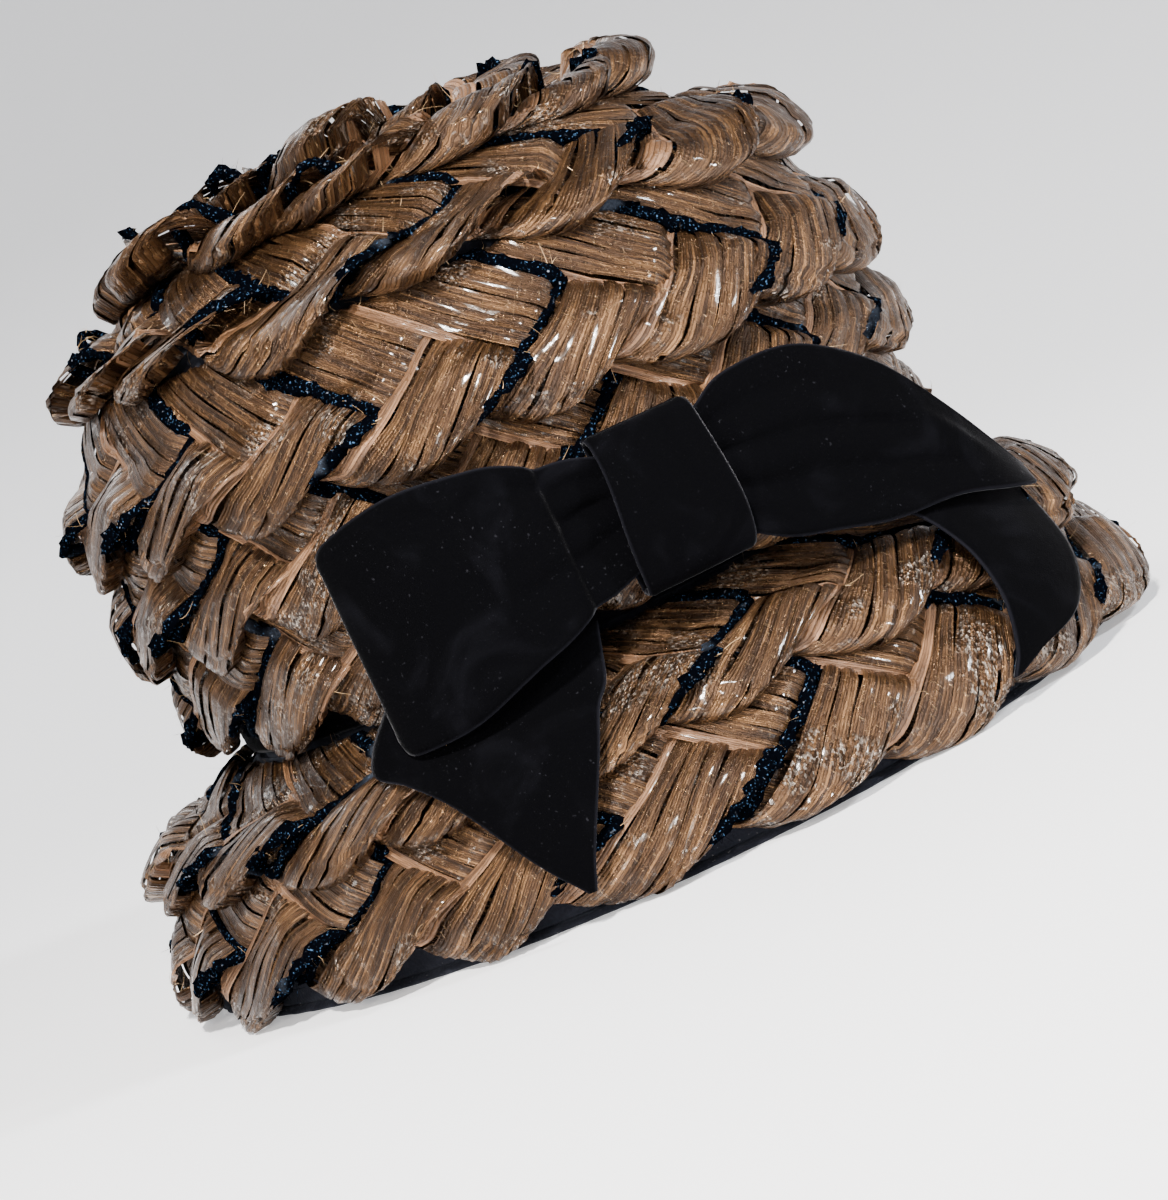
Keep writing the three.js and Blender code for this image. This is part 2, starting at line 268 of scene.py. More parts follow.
class Plait:
    """One row of three-strand plait, laid along an outline from its hem upward."""

    def __init__(self, outline, start, top, petals, under, under_to, stand, loose=1.0):
        self.outline, self.start, self.petals = outline, start * MM, petals
        self.height = (top - start) * MM
        self.leg = self.height / math.cos(LEG_ANGLE)
        self.pitch = 2 * self.height * math.tan(LEG_ANGLE) / STRANDS
        self.under, self.under_to, self.stand = under * MM, under_to * MM, stand * MM
        self.loose = loose
        self.turn = 2 * math.pi / petals / self.pitch  # radians round the hat for each metre of plait

    def place(self, along, across, unit, quirk):
        """Points of the ribbon at distances along and across it, for one fold of one strand."""
        rise, leg = self.height, self.leg
        sin, cos = math.sin(LEG_ANGLE), math.cos(LEG_ANGLE)
        side = across / (RIBBON_WIDTH / 2)
        wrap = along * cos + across * sin
        swing = along - across / math.tan(2 * LEG_ANGLE)
        sideways = unit * self.pitch - along * sin + across * cos
        before, after = wrap < 0, wrap > 2 * rise
        swing = swing + 2 * leg * before - 2 * leg * after
        wrap = wrap + 2 * rise * before - 2 * rise * after
        free = np.sin(np.clip(along / (2 * leg), 0, 1) * math.pi) ** 2  # 0 where the next fold joins on
        down, up = (ease((swing - at * leg + CROSSING) / (2 * CROSSING)) for at in (0.5, 1.5))
        hem = self.stand + quirk["stand"] * free
        from_hem = wrap - rise
        height = np.abs(from_hem)
        face_low = MIDDLE + (hem - MIDDLE) * np.clip(1 - height / (rise / 2), 0, 1) ** 0.8
        face_high = MIDDLE + (TOP - MIDDLE) * np.clip(height / (rise / 2) - 1, 0, 1)
        lower_half = height < rise / 2
        down_level = LOW + (np.where(lower_half, face_low, MIDDLE) - LOW) * down
        up_level = LOW + (np.where(lower_half, MIDDLE, face_high) - LOW) * up
        level = np.where(from_hem < 0, down_level, up_level)
        # the open loop at the hem
        loop = (hem - LOW) / 2
        in_loop = height < math.pi / 2 * loop
        turn = np.clip(from_hem / loop, -math.pi / 2, math.pi / 2)
        height = np.where(in_loop, loop * (1 - np.cos(turn)), height - (math.pi / 2 - 1) * loop)
        level = np.where(in_loop, (hem + LOW) / 2 - loop * np.sin(turn), level)
        # the tight turn at the top
        tight = (TOP - LOW) / 2
        from_top = np.where(from_hem < 0, -(rise + from_hem), rise - from_hem)
        spin = np.clip(from_top / tight, -math.pi / 2, math.pi / 2)
        at_top = np.abs(from_top / tight) < math.pi / 2
        level = np.where(at_top, (TOP + LOW) / 2 + tight * np.sin(spin), level)
        # a petal is full down its middle, its edges draw up at the hem, and its lower edge stands proud
        face = np.where(from_hem < 0, down, up * 0.6)
        near_hem = np.exp(-((height / (12 * MM)) ** 2))
        level = level + quirk["full"] * face * (1 - side**2) * np.cos(turn * in_loop * 0.9)
        level = level + quirk["tilt"] * face * side * free
        level = level + quirk["kink"] * face * np.sin(height / (7 * MM) + quirk["phase"]) * free
        height = height + (quirk["lobe"] * side * side + quirk["drop"]) * near_hem * free
        sideways = sideways + quirk["shift"] * free * near_hem + quirk["splay"] * side * near_hem * free
        # the row below lifts this one's lower part
        place = self.start + height
        lift = self.under * (1 - np.clip((place - self.under_to + 4 * MM) / (8 * MM), 0, 1))
        return around(sideways * self.turn, *self.outline.point(place, level + lift))

    def surface(self, along, across, unit, quirk):
        """Points and normals; a normal points out of the ribbon's face."""
        step = 0.3 * MM
        middle = self.place(along, across, unit, quirk)
        ahead, behind = (self.place(along + move, across, unit, quirk) for move in (step, -step))
        right, left = (self.place(along, across + move, unit, quirk) for move in (step, -step))
        normal = np.cross(ahead - behind, right - left)
        return middle, normal / np.maximum(np.linalg.norm(normal, axis=-1, keepdims=True), 1e-12)


class Pieces:
    """Grids of points gathered into one mesh."""

    def __init__(self):
        self.points, self.uvs, self.faces, self.slots, self.count = [], [], [], [], 0

    def keep(self, grid, along, across, slot, faces=None):
        if faces is None:
            faces = grid_faces(*grid.shape[:2])
        uv = np.stack(np.broadcast_arrays(along, across), -1)
        self.points.append(grid.reshape(-1, 3))
        self.uvs.append(uv.reshape(-1, 2))
        self.faces.append(faces + self.count)
        self.slots.append(np.full(len(faces), slot))
        self.count += uv.size // 2

    def mesh(self, name, materials):
        whole = [np.concatenate(a) for a in (self.points, self.faces, self.uvs, self.slots)]
        # what the hat rests on turns the lowest straws aside
        whole[0][:, 2] = np.maximum(whole[0][:, 2], 0.1 * MM)
        return add_mesh(name, whole[0], whole[1], materials, whole[2], whole[3])


def any_way(count):
    way = draw.standard_normal((count, 3))
    return way / np.linalg.norm(way, axis=1, keepdims=True)


def hairs(pieces, roots, ways, curls, width, slot, steps=3):
    """Fine flat fibres, each from its root, out along its way and bending towards its curl."""
    t = np.linspace(0, 1, steps + 1)[None, :, None]
    middle = roots[:, None] + ways[:, None] * t + curls[:, None] * t * t
    flat = np.cross(ways, any_way(len(roots)))
    flat *= width / 2 / np.maximum(np.linalg.norm(flat, axis=1, keepdims=True), 1e-9)
    taper = 1 - 0.6 * t
    strip = np.stack([middle - flat[:, None] * taper, middle + flat[:, None] * taper], 2)
    one = grid_faces(steps + 1, 2)
    faces = (one[None] + np.arange(len(roots))[:, None, None] * 2 * (steps + 1)).reshape(-1, 4)
    pieces.keep(
        strip, np.broadcast_to(t * 5 * MM, strip.shape[:3]), 0.0, slot, faces)


def braid_fold(pieces, plait, unit):
    """One fold of one strand: down to the hem, round the petal and up again."""
    loose = plait.loose
    quirk = {
        "stand": draw.normal(0, 1.3) * MM * loose**1.5, "full": draw.uniform(1.8, 3.6) * MM,
        "tilt": draw.normal(3.6, 0.9) * MM * loose**0.7,
        "kink": draw.normal(0, 0.6) * MM, "phase": draw.uniform(0, 6.28),
        "lobe": draw.uniform(9, 15) * MM * loose**0.5, "drop": (draw.normal(0, 1.5) - 2.0) * MM * loose,
        "shift": draw.normal(0, 2.0) * MM * loose, "splay": draw.uniform(-3.0, 0.5) * MM,
    }
    steps = 72
    half = RIBBON_WIDTH / 2
    along = np.linspace(0, 2 * plait.leg, steps + 1)
    facing = 1 if unit % STRANDS else -1  # which edge of the ribbon leads on this strand
    offset = draw.uniform(0, 5)
    edges = np.linspace(-half + SELVEDGE_WIDTH, half - 2 * CHENILLE_RADIUS, STRAW_BANDS + 1)
    free = ease(np.minimum(along, 2 * plait.leg - along) / (12 * MM))[:, None]
    crumple = np.exp(-(((along - plait.leg) / (16 * MM)) ** 2))[:, None]
    for first, last in zip(edges, edges[1:]):
        gap = draw.uniform(0.0, 0.2) * MM
        across = np.linspace(first + gap, last - gap, 4)
        A, B = np.meshgrid(along, across * facing, indexing="ij")
        wave = draw.uniform(0, 6.28, 6)
        wander = 0.25 * np.sin(A / (9 * MM) + wave[0]) + 0.12 * np.sin(A / (4.1 * MM) + wave[1])
        wander = wander * MM * free
        grid, normal = plait.surface(A, B + wander, unit, quirk)
        share = ((across - first) / (last - first))[None, :]
        rise = 0.4 * np.sin(share * math.pi) + 0.28 * free * np.sin(A / (11 * MM) + wave[2])
        rise = rise + 0.10 * free * np.sin(A / (4.6 * MM) + share * 2.5 + wave[3])
        rise = rise + 0.22 * crumple * np.sin(A / (1.7 * MM) + share * 3 + wave[4])
        rise = rise + 0.5 * (share - 0.5) * free * np.sin(A / (14 * MM) + wave[5])
        pieces.keep(grid + normal * rise[..., None] * MM, A + offset, across[None, :], 0)
    # the selvedge works loose here and there
    across = np.linspace(-half, -half + SELVEDGE_WIDTH, 4)
    A, B = np.meshgrid(along, across * facing, indexing="ij")
    wave = draw.uniform(0, 6.28, 3)
    astray = np.maximum(np.sin(A / (12 * MM) + wave[0]), 0) * free * draw.uniform(0.2, 1.4) * MM
    grid, normal = plait.surface(A, B - astray * facing * 0.5, unit, quirk)
    rise = 0.6 * np.sin((across + half) / SELVEDGE_WIDTH * math.pi)[None, :] * MM + astray
    rise = rise + 0.2 * MM * np.sin(A / (5 * MM) + wave[1])
    pieces.keep(grid + normal * rise[..., None], A + offset, across[None, :], 1)
    # the chenille cord and its fuzz
    sides = 8
    core, normal = plait.surface(along, np.full(steps + 1, (half - CHENILLE_RADIUS) * facing), unit, quirk)
    ahead = np.gradient(core, axis=0)
    ahead /= np.linalg.norm(ahead, axis=-1, keepdims=True)
    side = np.cross(ahead, normal)
    spin = np.linspace(0, 2 * math.pi, sides, endpoint=False)[None, :, None]
    fuzz = CHENILLE_RADIUS * (1 + 0.25 * draw.standard_normal((steps + 1, sides)))
    round_it = 0.6 * np.cos(spin) * normal[:, None] + 1.15 * np.sin(spin) * side[:, None]
    ring = core[:, None] + fuzz[..., None] * round_it
    pieces.keep(ring, along[:, None] + offset, spin[..., 0] * MM, 2,
                grid_faces(steps + 1, sides, close_cols=True))
    count = 150
    at = draw.integers(4, steps - 4, count)
    way = any_way(count) + normal[at] * 0.7
    reach = draw.uniform(1.0, 3.2, (count, 1)) * MM
    hairs(pieces, core[at], way * reach, any_way(count) * reach * 0.5, 0.15 * MM, 2)
    # gold cross threads that loop past the ribbon's edges
    count = 64
    at = draw.uniform(0.08, 0.92, count) * 2 * plait.leg
    edge = np.where(draw.uniform(0, 1, count) < 0.5, -half, half)
    root, normal = plait.surface(at, edge * facing, unit, quirk)
    inner, _ = plait.surface(at, edge * facing * 0.8, unit, quirk)
    outward = root - inner
    outward /= np.linalg.norm(outward, axis=1, keepdims=True)
    reach = draw.uniform(1.5, 6.5, (count, 1)) * MM
    way = outward + 0.5 * normal + any_way(count) * 0.5
    curl = any_way(count) * 0.8 - outward * 0.6
    hairs(pieces, root, way * reach, curl * reach, 0.16 * MM, 3, steps=4)


# straws side by side along the ribbon: the height of each, the gaps between them (which the finish darkens
# as painted shade), and how light each one is
straws, given, made = start_group("laid_straws", [
    ("Ribbon", "NodeSocketVector", None), ("Straw Width", "NodeSocketFloat", 0.6 * MM),
    ("Wander", "NodeSocketFloat", 0.5 * MM)], ["Height", "Shaded Gap", "Tone"])
split = put(straws, "SeparateXYZ", {0: given["Ribbon"]})
stretched = put(straws, "VectorMath", {0: given["Ribbon"], 1: (90, 260, 1)}, operation="MULTIPLY")[0]
waver = put(straws, "TexNoise", {"Vector": stretched, "Scale": 1.0, "Detail": 2.0})[0]
moved = sum_of(straws, "MULTIPLY", sum_of(straws, "SUBTRACT", waver, 0.5), given["Wander"])
counted = sum_of(straws, "DIVIDE", sum_of(straws, "ADD", split[1], moved), given["Straw Width"])
centred = sum_of(straws, "SUBTRACT", sum_of(straws, "FRACT", counted), 0.5)
square = sum_of(straws, "MULTIPLY", sum_of(straws, "MULTIPLY", centred, centred), 4.0)
each = put(straws, "CombineXYZ", {0: sum_of(straws, "MULTIPLY", sum_of(straws, "FLOOR", counted), 3.7),
                                  1: sum_of(straws, "MULTIPLY", split[0], 45.0)})[0]
tone = put(straws, "TexNoise", {"Vector": each, "Scale": 1.0, "Detail": 2.0})[0]
straws.links.new(sum_of(straws, "SUBTRACT", 1.0, square), made["Height"])
straws.links.new(spread(straws, square, 0.5, 0.98), made["Shaded Gap"])
straws.links.new(spread(straws, tone, 0.28, 0.74), made["Tone"])

# film: the fine creases of a cellophane-like yarn, the facets that catch the light, and pale flakes painted
# on as sparkle (painted highlights)
film, given, made = start_group("creased_film", [
    ("Ribbon", "NodeSocketVector", None), ("Place", "NodeSocketVector", None)],
    ["Height", "Glint", "Worn", "Painted Sparkle"])
stretched = put(film, "VectorMath", {0: given["Ribbon"], 1: (420, 800, 1)}, operation="MULTIPLY")[0]
creases = put(film, "TexNoise", {"Vector": stretched, "Scale": 1.0, "Detail": 5.0, "Roughness": 0.7})[0]
blotches = put(film, "TexNoise", {"Vector": given["Place"], "Scale": 70.0, "Detail": 3.0})[0]
patches = put(film, "TexNoise", {"Vector": given["Place"], "Scale": 48.0, "Detail": 2.0})[0]
shape = put(film, "VectorMath", {0: given["Ribbon"], 1: (1300, 2400, 1)}, operation="MULTIPLY")[0]
crumbs = put(film, "TexVoronoi", {"Vector": shape, "Scale": 1.0}, feature="F1")
crumbled = spread(film, patches, 0.56, 0.64)
each = put(film, "SeparateColor", {0: crumbs["Color"]})[0]
rough_film = sum_of(film, "MULTIPLY", sum_of(film, "ADD", each, crumbs["Distance"]), crumbled)
film.links.new(sum_of(film, "ADD", creases, sum_of(film, "MULTIPLY", rough_film, 0.8)), made["Height"])
film.links.new(sum_of(film, "MULTIPLY", spread(film, each, 0.62, 0.9), crumbled), made["Painted Sparkle"])
film.links.new(spread(film, creases, 0.5, 0.68), made["Glint"])
film.links.new(spread(film, blotches, 0.4, 0.66), made["Worn"])

# the fine gold threads woven across the straws
crossing, given, made = start_group("cross_threads", [
    ("Ribbon", "NodeSocketVector", None), ("Spacing", "NodeSocketFloat", 1.8 * MM)], ["Thread"])
split = put(crossing, "SeparateXYZ", {0: given["Ribbon"]})
stretched = put(crossing, "VectorMath", {0: given["Ribbon"], 1: (80, 120, 1)}, operation="MULTIPLY")[0]
waver = put(crossing, "TexNoise", {"Vector": stretched, "Scale": 1.0, "Detail": 2.0})[0]
moved = sum_of(crossing, "ADD", split[0], sum_of(crossing, "MULTIPLY", waver, 3 * MM))
part = sum_of(crossing, "FRACT", sum_of(crossing, "DIVIDE", moved, given["Spacing"]))
apart = sum_of(crossing, "ABSOLUTE", sum_of(crossing, "SUBTRACT", part, 0.5))
crossing.links.new(sum_of(crossing, "SUBTRACT", 1.0, spread(crossing, apart, 0.04, 0.1)), made["Thread"])


def ribbon_finish(material, straw_width, dark, middle, light, thread_colour, thread_share, matt, glossy,
                  sparkle_paint):
    """The colour, creases and gloss of laid straw, with painted shade in the gaps between straws and
    painted sparkle on the film, on a material's own Principled shader.
    """
    tree = material.node_tree
    shader = tree.nodes["Principled BSDF"]
    ribbon = put(tree, "UVMap", uv_map="ribbon")[0]
    place = put(tree, "TexCoord")["Object"]
    laid = put(tree, "Group", {"Ribbon": ribbon, "Straw Width": straw_width}, node_tree=straws)
    creased = put(tree, "Group", {"Ribbon": ribbon, "Place": place}, node_tree=film)
    crossed = put(tree, "Group", {"Ribbon": ribbon}, node_tree=crossing)
    colour = between(tree, spread(tree, laid["Tone"], 0.0, 0.55), dark, middle)
    colour = between(tree, spread(tree, laid["Tone"], 0.5, 1.0), colour, light)
    colour = between(tree, sum_of(tree, "MULTIPLY", creased["Worn"], 0.55), colour, dark)
    # painted shade: the grooves between straws are darkened to near black, where shade falls between them
    colour = between(tree, sum_of(tree, "MULTIPLY", laid["Shaded Gap"], 0.8), colour, (0.012, 0.007, 0.004, 1))
    thread = sum_of(tree, "MULTIPLY", crossed["Thread"], thread_share)
    thread = sum_of(tree, "MULTIPLY", thread, creased["Glint"])
    colour = between(tree, thread, colour, thread_colour)
    # painted highlight: pale sparkle flakes painted into the colour in patches of the film
    painted_sparkle = sum_of(tree, "MULTIPLY", creased["Painted Sparkle"], sparkle_paint)
    colour = between(tree, painted_sparkle, colour, (0.66, 0.58, 0.50, 1))
    tree.links.new(colour, shader.inputs["Base Color"])
    rough = put(tree, "MapRange", {0: creased["Glint"], 3: matt, 4: glossy})[0]
    tree.links.new(rough, shader.inputs["Roughness"])
    coat = put(tree, "MapRange", {0: creased["Glint"], 3: 0.12, 4: 1.0})[0]
    coat = sum_of(tree, "MULTIPLY", coat, sum_of(tree, "SUBTRACT", 1.0, laid["Shaded Gap"]))
    tree.links.new(coat, shader.inputs["Coat Weight"])
    fine = put(tree, "Bump", {"Height": laid["Height"], "Strength": 0.7, "Distance": 0.25 * MM})[0]
    both = put(tree, "Bump", {"Height": creased["Height"], "Strength": 0.9, "Distance": 1.0 * MM,
                              "Normal": fine})[0]
    tree.links.new(both, shader.inputs["Normal"])


bronze_straw = new_material("bronze_straw", Metallic=0.7, Coat_Roughness=0.08)[0]
ribbon_finish(bronze_straw, 0.5 * MM, (0.024, 0.0105, 0.004, 1), (0.082, 0.039, 0.015, 1),
              (0.22, 0.112, 0.047, 1), (0.55, 0.36, 0.18, 1), 0.5, 0.32, 0.11, 0.3)
tan_selvedge = new_material("tan_selvedge", Metallic=0.3, Coat_Roughness=0.1)[0]
ribbon_finish(tan_selvedge, 0.45 * MM, (0.09, 0.042, 0.018, 1), (0.22, 0.106, 0.048, 1),
              (0.38, 0.20, 0.10, 1), (0.6, 0.40, 0.24, 1), 0.15, 0.4, 0.2, 0.1)

# chenille: midnight blue, with glints painted on as light blue specks (painted highlights), and stretches
# that have faded to grey
blue_chenille, tree, shader = new_material("blue_chenille", Roughness=0.7, Specular_IOR_Level=0.0)
place = put(tree, "TexCoord")["Object"]
ends = put(tree, "TexNoise", {"Vector": place, "Scale": 1500.0, "Detail": 2.0})[0]
fading = put(tree, "TexNoise", {"Vector": place, "Scale": 42.0, "Detail": 2.0})[0]
dusty = put(tree, "Group", {"Place": place, "Amount": 0.5}, node_tree=lint)
# painted highlight: light blue specks stand in for glints on the fibres
painted_glints = spread(tree, ends, 0.62, 0.74)
colour = between(tree, painted_glints, (0.0006, 0.0008, 0.0015, 1), (0.040, 0.090, 0.170, 1))
grey = between(tree, ends, (0.002, 0.0022, 0.003, 1), (0.05, 0.06, 0.08, 1))
colour = between(tree, spread(tree, fading, 0.63, 0.72), colour, grey)
colour = between(tree, dusty["Specks"], colour, (0.3, 0.34, 0.42, 1))
tree.links.new(colour, shader.inputs["Base Color"])
tree.links.new(put(tree, "Bump", {"Height": ends, "Strength": 1.0, "Distance": 0.6 * MM})[0],
               shader.inputs["Normal"])

gold_thread, tree, shader = new_material("gold_thread", Metallic=0.4, Roughness=0.35)
place = put(tree, "TexCoord")["Object"]
uneven = put(tree, "TexNoise", {"Vector": place, "Scale": 90.0, "Detail": 2.0})[0]
colour = between(tree, uneven, (0.18, 0.10, 0.045, 1), (0.62, 0.42, 0.22, 1))
tree.links.new(colour, shader.inputs["Base Color"])

LAYER = 4.2  # the thickness of a row's tucked top edge under the next row, with its air
# start and top along the outline, petals, lift by what is under it and how far up, stand, looseness
rows = {
    "crown_braid_1": Plait(crown_outline, 6, 50, 18, 2.8, 30, 8.6),
    "crown_braid_2": Plait(crown_outline, 32, 78, 18, LAYER, 50, 8.4),
    "crown_braid_3": Plait(crown_outline, 58, 102, 18, LAYER, 78, 8.6),
    "crown_braid_4": Plait(crown_outline, 96, 138, 15, LAYER, 102, 10.4, 1.6),
    "crown_braid_5": Plait(crown_outline, 126, 165, 12, LAYER, 138, 11.0, 1.6),
    "crown_tip_braid": Plait(crown_outline, 153, 190, 9, LAYER, 165, 10.5, 1.6),
    "brim_braid_1": Plait(brim_outline, 0.5, 45, 21, 0.8, 30, 8.2, 0.9),
    "brim_braid_2": Plait(brim_outline, 26, 66, 21, LAYER, 45, 7.6, 0.8),
}
for node, plait in rows.items():
    pieces = Pieces()
    for unit in range(plait.petals):
        braid_fold(pieces, plait, unit)
    row = pieces.mesh(f"{node}_plait", [bronze_straw, tan_selvedge, blue_chenille, gold_thread])
    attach(row, "root")
    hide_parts(node)

# ---------------------------------------------------------------------------
# The velvet band. A strip of black velvet ribbon drawn tight round the foot of the crown, its top edge
# under the first row of braid. It lies in a few soft horizontal folds where it was pulled round.
# ---------------------------------------------------------------------------
VELVET_WALL = 1.2 * MM
black_velvet, tree, shader = new_material(
    "black_velvet", Roughness=1.0, Specular_IOR_Level=0.02, Sheen_Weight=0.13, Sheen_Roughness=0.2,
    Sheen_Tint=(0.66, 0.66, 0.70, 1))
place = put(tree, "TexCoord")["Object"]
across = put(tree, "SeparateXYZ", {0: put(tree, "UVMap", uv_map="ribbon")[0]})[1]
pile = put(tree, "TexNoise", {"Vector": place, "Scale": 2600.0, "Detail": 2.0})[0]
crushed = put(tree, "TexNoise", {"Vector": place, "Scale": 45.0, "Detail": 4.0, "Distortion": 1.2})[0]
dusty = put(tree, "Group", {"Place": place, "Speck Scale": 1100.0, "Amount": 0.15}, node_tree=lint)
rubbed = spread(tree, crushed, 0.5, 0.8)
colour = between(tree, rubbed, (0.0008, 0.0008, 0.0011, 1), (0.0022, 0.0022, 0.0030, 1))
colour = between(tree, dusty["Specks"], colour, (0.05, 0.05, 0.06, 1))
# painted highlight: the velvet is drawn lighter grey within 0.9 mm of each long edge, standing in for sheen
# along the rolled edges
painted_edge_sheen = sum_of(tree, "SUBTRACT", 1.0, spread(tree, across, 0.0, 0.9 * MM))
colour = between(tree, sum_of(tree, "MULTIPLY", painted_edge_sheen, 0.6), colour, (0.008, 0.008, 0.011, 1))
tree.links.new(colour, shader.inputs["Base Color"])
soft = put(tree, "Bump", {"Height": crushed, "Strength": 0.25, "Distance": 1.0 * MM})[0]
fine = put(tree, "Bump", {"Height": pile, "Strength": 0.5, "Distance": 0.25 * MM, "Normal": soft})[0]
tree.links.new(fine, shader.inputs["Normal"])


def velvet_sheet(name, grid, node, closed=False):
    """A ribbon with a wall, from a grid of its middle. Its long edges are rolled, and its UV holds how
    far each point is from the nearer one."""
    along = np.roll(grid, -1, 0) - np.roll(grid, 1, 0) if closed else np.gradient(grid, axis=0)
    across = np.gradient(grid, axis=1)
    normal = np.cross(along, across)
    normal /= np.maximum(np.linalg.norm(normal, axis=-1, keepdims=True), 1e-12)
    cols = grid.shape[1]
    edge = np.minimum(np.arange(cols), np.arange(cols)[::-1])
    wall = VELVET_WALL / 2 * np.where(edge == 0, 0.45, np.where(edge == 1, 1.25, 1.0))[None, :, None]
    shell = np.concatenate([grid + normal * wall, (grid - normal * wall)[:, ::-1]], 1)
    width = np.linalg.norm(across, axis=-1).sum(1, keepdims=True)
    from_edge = np.tile(edge / (cols - 1) * width, 2)
    rows = len(grid)
    faces = grid_faces(rows, 2 * cols, close_rows=closed, close_cols=True)
    if not closed:
        j = np.arange(cols - 1)
        ends = [np.stack([r * 2 * cols + a for a in (j, j + 1, 2 * cols - 2 - j, 2 * cols - 1 - j)], -1)
                for r in (0, rows - 1)]
        faces = np.concatenate([faces, ends[0], ends[1][:, ::-1]])
    uvs = np.stack([0 * from_edge, from_edge], -1).reshape(-1, 2)
    piece = add_mesh(name, shell.reshape(-1, 3), faces, [black_velvet], uvs)
    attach(piece, "root")
    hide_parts(node)
    return piece


BAND_FOOT, BAND_TOP = 57.8 * MM, 78 * MM
turns = np.linspace(0, 2 * math.pi, 360, endpoint=False)[:, None]
t = np.linspace(0, 1, 14)[None, :]
radius = (91.4 + 2.6 * t + 2.2 * t * t) * MM
pull = 1.2 * np.sin(turns * 2) + 0.6 * np.sin(turns * 5 + 1)
folds = 0.45 * MM * np.sin(t * 9 + pull) * np.sin(t * math.pi)
grid = around(turns, radius + VELVET_WALL / 2 + folds, BAND_FOOT + (BAND_TOP - BAND_FOOT) * t)
band = velvet_sheet("velvet_band", grid, "ribbon_band", closed=True)

# ---------------------------------------------------------------------------
# The bow. Two loops, a knot and two pointed tails of 50 mm black velvet ribbon, tied flat and tacked to
# the band at the wearer's front right. It is soft, so the loops puff out, sag and crease towards the knot.
# ---------------------------------------------------------------------------
BOW_ANGLE, KNOT_HALF_ANGLE = math.radians(-22.9), math.radians(6.6)


def ribbon_grid(stations, steps, cols, creases=()):
    """A soft ribbon through [angle, radius, low z, high z, flare] stations, in degrees and millimetres,
    with (start, end, width, depth, from, to) creases: shares of its width, then of its length."""
    line = smooth_line(stations, steps)
    t = np.linspace(0, 1, cols)[None, :]
    angle, radius, low, high, flare = (line[:, k : k + 1] for k in range(5))
    share = np.linspace(0, 1, len(line))[:, None]
    depth = sum(
        amount * np.exp(-(((t - start - (end - start) * share) / width) ** 2))
        * ease((share - first) / 0.08) * ease((last - share) / 0.08)
        for start, end, width, amount, first, last in creases) + 0 * share * t
    out = radius + flare * (0.5 - t) + depth
    # no edge of it is quite straight
    slack = 0.5 * np.sin(share * 19 + t * 2) + 0.35 * np.sin(share * 37 - t * 3)
    return around(np.radians(angle + 0 * t), out * MM, (low + (high - low) * t + slack) * MM)


# each loop runs out from the knot in front, turns, and comes back behind
back_stations = [
    [-26.5, 118.6, 69, 98, 0], [-30.5, 118.6, 66.5, 102, 0], [-33.5, 119.5, 65.5, 103.5, 1],
    [-35.6, 121.2, 65, 104.5, 1], [-37, 125.2, 64, 106, 1], [-41, 127.8, 60, 110, 1],
    [-46, 129, 55.5, 112.5, 1], [-51, 129, 52.5, 112.5, 1], [-56, 127.8, 51, 110.5, 1],
    [-59.8, 125.2, 51.3, 106.5, 1], [-61.6, 121.8, 54, 102.5, 0], [-60.5, 118.4, 58, 101, 0],
    [-55, 116.8, 61, 101.5, 0], [-44, 116, 63, 101, 0], [-30, 116, 68, 97, 0], [-27.5, 116.2, 70, 96, 0]]
front_stations = [
    [-19, 118.6, 68, 98, 0], [-15.4, 118.6, 63.5, 102, 0], [-11.5, 121, 59, 106.5, 3],
    [-6, 124, 55.5, 107, 4], [0, 127, 52.5, 101.5, 5], [7, 129.5, 49.5, 90, 6], [14, 131.5, 45.8, 70, 6],
    [20.5, 132.2, 42.5, 51.5, 3], [23, 130.4, 42.5, 46.5, 1], [20.5, 128.6, 45, 53, 2],
    [11, 126, 53, 76, 4], [0, 120.4, 58, 93, 3], [-15.6, 116, 65, 96, 0], [-18, 116.2, 69, 95, 0]]
grid = ribbon_grid(back_stations, 9, 26, [
    (0.62, 0.5, 0.05, -2.4, 0.0, 0.24), (0.35, 0.2, 0.06, -1.8, 0.0, 0.4),
    (0.8, 0.95, 0.05, -1.2, 0.0, 0.5), (0.5, 0.7, 0.10, 1.1, 0.25, 0.6)])
loop_back = velvet_sheet("bow_loop_back_velvet", grid[::-1], "bow_loop_back")
grid = ribbon_grid(front_stations, 10, 26, [
    (0.60, 0.35, 0.045, -2.4, 0.0, 0.42), (0.35, 0.1, 0.05, -2.0, 0.0, 0.45),
    (0.82, 0.7, 0.05, -1.2, 0.0, 0.35), (0.5, 0.55, 0.12, 1.0, 0.08, 0.5)])
loop_front = velvet_sheet("bow_loop_front_velvet", grid, "bow_loop_front")

# the knot: a short ribbon wrapped once round the gathered middle
outline = smooth_line([
    [113.8, 66], [113.8, 101], [115.8, 103.8], [119, 104.4], [122, 101.2], [124.2, 91],
    [124.2, 76], [122.2, 66.4], [119.4, 62.4], [116, 63]], 6, closed=True)
t = np.linspace(-1, 1, 22)[None, :]
angle = BOW_ANGLE + KNOT_HALF_ANGLE * t * (1.0 + 0.06 * np.sin(outline[:, 1:] / 9))
front = ease((outline[:, :1] - 114) / 8)
crease = np.exp(-(((t - 0.35) / 0.1) ** 2)) * ease((outline[:, 1:] - 70) / 20)
swell = front * (0.8 * (1 - t**2) - 0.9 * crease)
grid = around(angle, (outline[:, :1] + swell) * MM, outline[:, 1:] * MM + 0 * t)
knot = velvet_sheet("bow_knot_velvet", grid, "bow_knot", closed=True)


